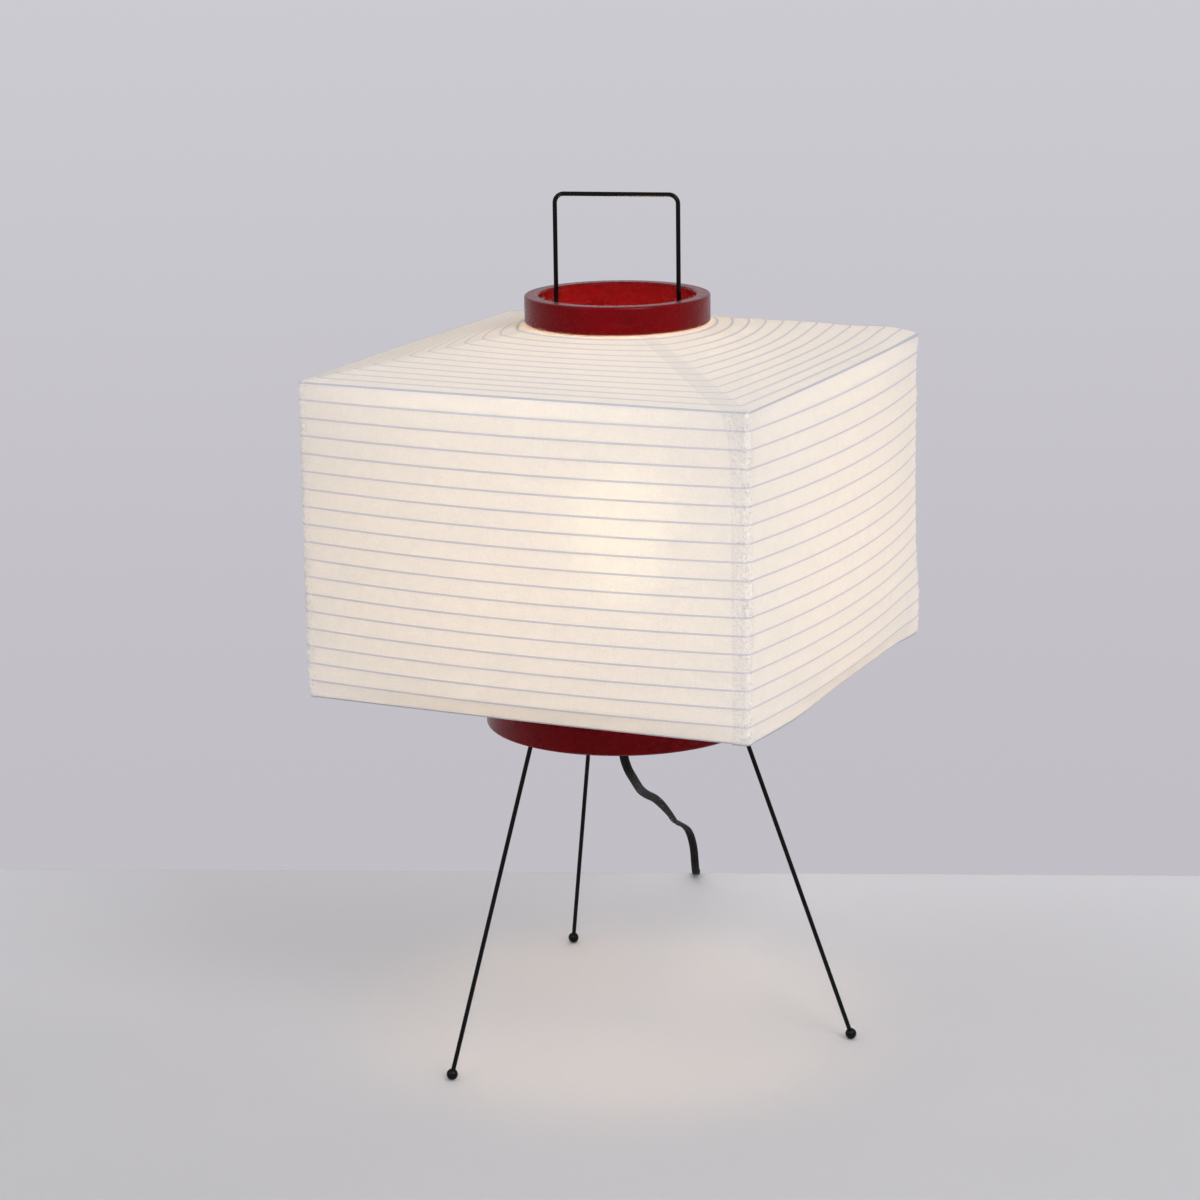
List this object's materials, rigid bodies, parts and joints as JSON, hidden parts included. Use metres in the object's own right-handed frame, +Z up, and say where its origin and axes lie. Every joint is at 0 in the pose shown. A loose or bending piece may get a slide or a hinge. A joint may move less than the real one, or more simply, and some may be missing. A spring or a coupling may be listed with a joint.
{
  "type": "rice paper table lamp",
  "caption": "Square rice paper lantern lamp on splayed wire legs, with turned red lacquered rings, a wire carrying handle, a bulb on a bridge bar, and a flat cord with switch and plug.",
  "frame": {"origin": "on the floor under the axis of the two rings, midway between the shade's sides", "axes": "+Z up along the rings' axis, -Y out of the shade's front side, +X out of its right side"},
  "size_m": [0.4174, 0.5193, 0.4803],
  "materials": {
    "red_lacquer": "satin red lacquer on turned wood",
    "rice_paper": "thin white paper with long fibres, lit from inside",
    "hoop_wire": "grey lacquered wire",
    "black_wire": "satin black",
    "plated_steel": "zinc plated",
    "brass": "plain",
    "black_plastic": "matte moulded",
    "insulator": "white",
    "bulb_glass": "opal",
    "bulb_cap_metal": "bright",
    "cord_sheath": "dark flexible sheath",
    "plated_pins": "nickel plated"
  },
  "bodies": {
    "lamp": {"bottom_collar_wire": "hoop_wire", "bottom_hoops": "hoop_wire", "bottom_rim_wire": "hoop_wire", "bridge_bar": "plated_steel", "bridge_screws": "plated_steel", "centre_contact": "brass", "coil_tie": "black_plastic", "cord_coil": "cord_sheath", "cord_grip": "black_plastic", "cord_lamp_run": "cord_sheath", "cord_plug_run": "cord_sheath", "cord_switch_run": "cord_sheath", "foot_back": "black_wire", "foot_left": "black_wire", "foot_right": "black_wire", "holder_cap": "black_plastic", "holder_insulator": "insulator", "holder_skirt": "black_plastic", "inner_leads": "cord_sheath", "leg_back": "black_wire", "leg_left": "black_wire", "leg_right": "black_wire", "lower_ring": "red_lacquer", "lug_screws": "plated_steel", "nipple": "brass", "nipple_nut": "brass", "paper_bottom_back": "rice_paper", "paper_bottom_front": "rice_paper", "paper_bottom_left": "rice_paper", "paper_bottom_right": "rice_paper", "paper_side_back": "rice_paper", "paper_side_front": "rice_paper", "paper_side_left": "rice_paper", "paper_side_right": "rice_paper", "paper_top_back": "rice_paper", "paper_top_front": "rice_paper", "paper_top_left": "rice_paper", "paper_top_right": "rice_paper", "plug_body": "black_plastic", "plug_pins": "plated_pins", "ring_lugs": "plated_steel", "rocker_pin": "plated_steel", "screw_shell": "brass", "side_hoops": "hoop_wire", "stop_collars": "black_wire", "stretcher_nuts": "plated_steel", "stretcher_wire": "black_wire", "switch_lower_case": "black_plastic", "switch_screws": "plated_steel", "switch_terminals": "brass", "switch_upper_case": "black_plastic", "top_collar_wire": "hoop_wire", "top_hoops": "hoop_wire", "top_rim_wire": "hoop_wire", "upper_ring": "red_lacquer"},
    "rocker": {"switch_rocker": "black_plastic"},
    "bulb": {"bulb_globe": "bulb_glass", "bulb_cap": "bulb_cap_metal", "bulb_contact": "brass", "bulb_led_board": "bulb_cap_metal"}
  },
  "joints": [
    {"name": "rocker_pivot", "type": "hinge", "parent": "lamp", "child": "rocker", "pos_m": [-0.15794, 0.2801, 0.01445], "axis": [0.2309, -0.973, 0], "range_deg": [0, 16]},
    {"name": "bulb_lift", "type": "slide", "parent": "lamp", "child": "bulb", "axis": [0, 0, 1], "range_m": [0, 0.034]}
  ]
}
